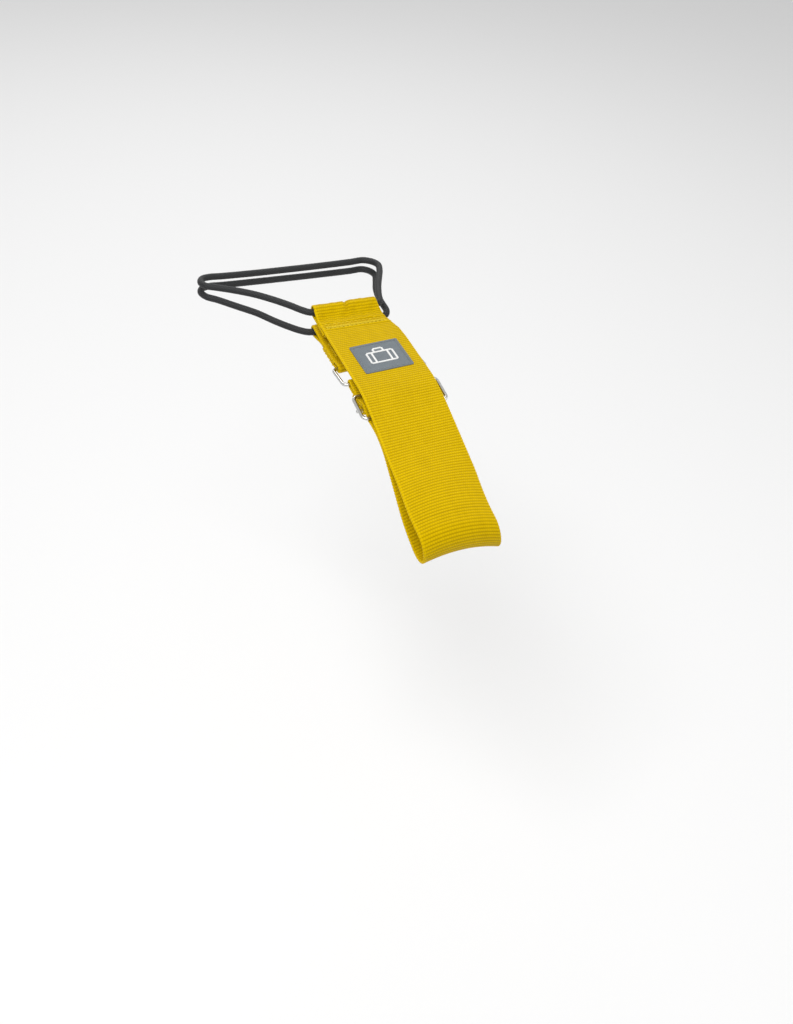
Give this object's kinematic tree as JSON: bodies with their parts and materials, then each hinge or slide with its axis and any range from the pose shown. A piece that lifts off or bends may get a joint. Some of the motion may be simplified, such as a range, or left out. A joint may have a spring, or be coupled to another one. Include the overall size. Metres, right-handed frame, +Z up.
{
  "type": "luggage strap",
  "caption": "Add-a-bag luggage strap: yellow webbing round a carry handle, wire slider and ring, and black elastic loops for a trolley handle.",
  "frame": {"origin": "midway between the axes of the two trolley-handle tubes that the elastic loops go round, at the height between the two loops", "axes": "+X across the strap to the right seen from the carry-handle end, +Y along the strap towards the trolley handle, +Z up along the tubes"},
  "size_m": [0.133, 0.2656, 0.0579],
  "materials": {
    "yellow_webbing": "ribbed woven polyester, matt with a faint sheen",
    "yellow_thread": "sewing thread",
    "grey_label": "fine weave",
    "white_thread": "raised embroidery",
    "nickel_wire": "bright nickel plate",
    "black_elastic": "braided jacket over elastic core",
    "crimp_brass": "pressed"
  },
  "bodies": {
    "strap": {"upper_webbing": "yellow_webbing", "handle_bend_webbing": "yellow_webbing", "woven_label": "grey_label", "label_seam_thread": "grey_label", "label_emblem": "white_thread", "upper_tunnel_seam": "yellow_thread", "upper_tunnel_bartack": "yellow_thread"},
    "lower_strap": {"lower_webbing": "yellow_webbing", "feed_webbing": "yellow_webbing"},
    "slider": {"slider_frame": "nickel_wire", "slider_bar": "nickel_wire", "slider_weave_webbing": "yellow_webbing", "sewn_end_webbing": "yellow_webbing", "sewn_end_seam": "yellow_thread"},
    "ring_turn": {"ring_turn_webbing": "yellow_webbing"},
    "ring": {"tab_ring": "nickel_wire"},
    "tab": {"tab_webbing": "yellow_webbing", "tab_upper_seam": "yellow_thread", "tab_lower_seam": "yellow_thread"},
    "upper_loop": {"upper_elastic_loop": "black_elastic", "upper_crimp_sleeve": "crimp_brass"},
    "lower_loop": {"lower_elastic_loop": "black_elastic", "lower_crimp_sleeve": "crimp_brass"}
  },
  "joints": [
    {"name": "strap_fold", "type": "hinge", "parent": "strap", "child": "lower_strap", "pos_m": [0.02, -0.239, -0.037], "axis": [-1, 0, 0], "range_deg": [0, 90], "deforming": ["handle_bend_webbing"]},
    {"name": "slider_slide", "type": "slide", "parent": "lower_strap", "child": "slider", "axis": [0, 0.9659, 0.2588], "range_m": [-0.024, 0], "deforming": ["feed_webbing"]},
    {"name": "ring_feed", "type": "slide", "parent": "slider", "child": "ring_turn", "axis": [0, 0.9659, 0.2588], "range_m": [0, 0.012], "deforming": ["ring_turn_webbing"]},
    {"name": "ring_tilt", "type": "hinge", "parent": "ring_turn", "child": "ring", "pos_m": [0.023, -0.1185, -0.0048], "axis": [-0.9954, 0, -0.0958], "range_deg": [0, 50]},
    {"name": "tab_swing", "type": "hinge", "parent": "ring", "child": "tab", "pos_m": [0.02318, -0.0975, -0.00689], "axis": [-0.9954, 0, -0.0958], "range_deg": [0, 60]},
    {"name": "upper_loop_swing", "type": "hinge", "parent": "strap", "child": "upper_loop", "pos_m": [0.023, -0.049, 0.004], "axis": [1, 0, 0], "range_deg": [0, 75]},
    {"name": "lower_loop_swing", "type": "hinge", "parent": "tab", "child": "lower_loop", "pos_m": [0.02332, -0.05, -0.00828], "axis": [-0.9954, 0, -0.0958], "range_deg": [0, 60]}
  ],
  "couplings": [
    {"joint": "ring_feed", "follows": "slider_slide", "ratio": -0.5}
  ]
}
